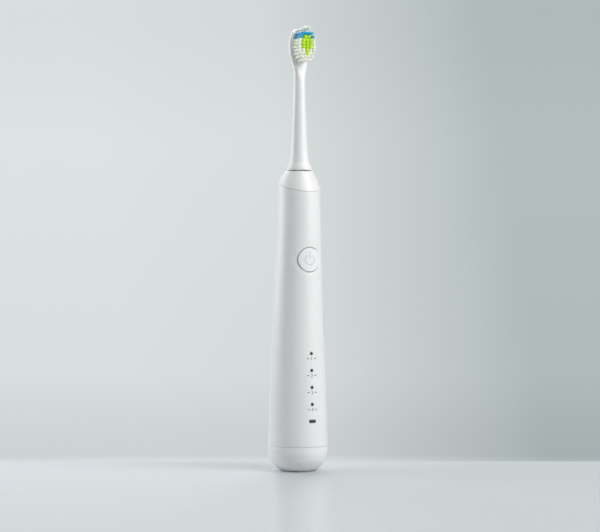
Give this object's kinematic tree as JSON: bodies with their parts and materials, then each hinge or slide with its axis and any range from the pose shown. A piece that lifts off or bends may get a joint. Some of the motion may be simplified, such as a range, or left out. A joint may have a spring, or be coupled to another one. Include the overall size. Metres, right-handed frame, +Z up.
{
  "type": "electric toothbrush",
  "caption": "Sonic electric toothbrush: tapered handle with rounded foot, tilted collar seam, round power button and pull-off brush head; stands on its foot.",
  "frame": {"origin": "middle of the foot's flat ring, on the surface that the handle stands on", "axes": "+Z up along the handle to the brush, -Y out of the button and the bristles, +X to the right of the button"},
  "size_m": [0.0324, 0.0324, 0.2392],
  "materials": {
    "shell_white": "satin",
    "button_white": "satin",
    "neck_white": "satin",
    "socket_plastic": "matte",
    "nylon_white": "satin",
    "nylon_blue": "satin",
    "nylon_green": "satin",
    "anchor_brass": "satin",
    "bearing_bronze": "satin",
    "copper_wire": "satin",
    "steel": "polished",
    "iron_core": "satin",
    "nickel_strip": "satin",
    "cell_sleeve": "satin",
    "ferrite_black": "matte",
    "silicone_white": "matte",
    "seal_rubber": "matte",
    "foam_grey": "matte",
    "frame_plastic": "matte",
    "light_black": "matte",
    "lens_grey": "gloss",
    "lens_dark": "gloss",
    "board_green": "satin",
    "part_tan": "matte",
    "led_cream": "gloss",
    "lead_red": "satin",
    "lead_orange": "satin"
  },
  "bodies": {
    "handle": {"body_shell": "shell_white", "top_collar": "shell_white", "collar_seal": "seal_rubber", "shaft_seal": "silicone_white", "button_membrane": "silicone_white", "mode_lens_1": "lens_grey", "mode_lens_2": "lens_grey", "mode_lens_3": "lens_grey", "mode_lens_4": "lens_grey", "battery_lens": "lens_dark", "light_block": "light_black", "circuit_board": "board_green", "switch_body": "part_tan", "indicator_leds": "led_cream", "controller_chip": "light_black", "board_parts": "part_tan", "board_screws": "steel", "chassis": "frame_plastic", "battery_cell": "cell_sleeve", "battery_pad": "foam_grey", "battery_tab_top": "nickel_strip", "battery_tab_bottom": "nickel_strip", "motor_case": "steel", "motor_front_plate": "frame_plastic", "motor_rear_plate": "frame_plastic", "stator_core": "iron_core", "coil_bobbins": "frame_plastic", "stator_windings": "copper_wire", "front_bearing": "bearing_bronze", "rear_bearing": "bearing_bronze", "front_damper": "seal_rubber", "rear_damper": "seal_rubber", "motor_leads": "lead_red", "charging_bobbin": "frame_plastic", "charging_coil": "copper_wire", "charging_ferrite": "ferrite_black", "coil_leads": "lead_orange", "ferrite_cushion": "foam_grey", "bottom_cap": "shell_white", "cap_seal": "seal_rubber"},
    "rotor": {"drive_shaft": "steel", "rotor_core": "iron_core", "rotor_magnets": "iron_core", "shaft_clip": "steel"},
    "brush_head": {"head_shell": "neck_white", "head_base_ring": "shell_white", "drive_socket": "socket_plastic", "socket_clip": "steel", "bristles_blue": "nylon_blue", "bristles_green": "nylon_green", "bristles_white": "nylon_white", "tuft_anchors": "anchor_brass"},
    "button": {"button_cap": "button_white"},
    "switch_plunger": {"switch_plunger": "light_black"}
  },
  "joints": [
    {"name": "shaft_swing", "type": "hinge", "parent": "handle", "child": "rotor", "pos_m": [0, -0.0015, 0.15], "axis": [0, 0, 1], "range_deg": [-4.5, 4.5], "stiffness_Nm_per_rad": 0.004},
    {"name": "head_pull", "type": "slide", "parent": "rotor", "child": "brush_head", "axis": [0, 0, 1], "range_m": [0, 0.026]},
    {"name": "button_press", "type": "slide", "parent": "handle", "child": "button", "axis": [0, 1, 0], "range_m": [0, 0.0004], "stiffness_N_per_m": 200},
    {"name": "plunger_press", "type": "slide", "parent": "handle", "child": "switch_plunger", "axis": [0, 1, 0], "range_m": [0, 0.0004]}
  ],
  "couplings": [
    {"joint": "plunger_press", "follows": "button_press", "ratio": 1}
  ]
}
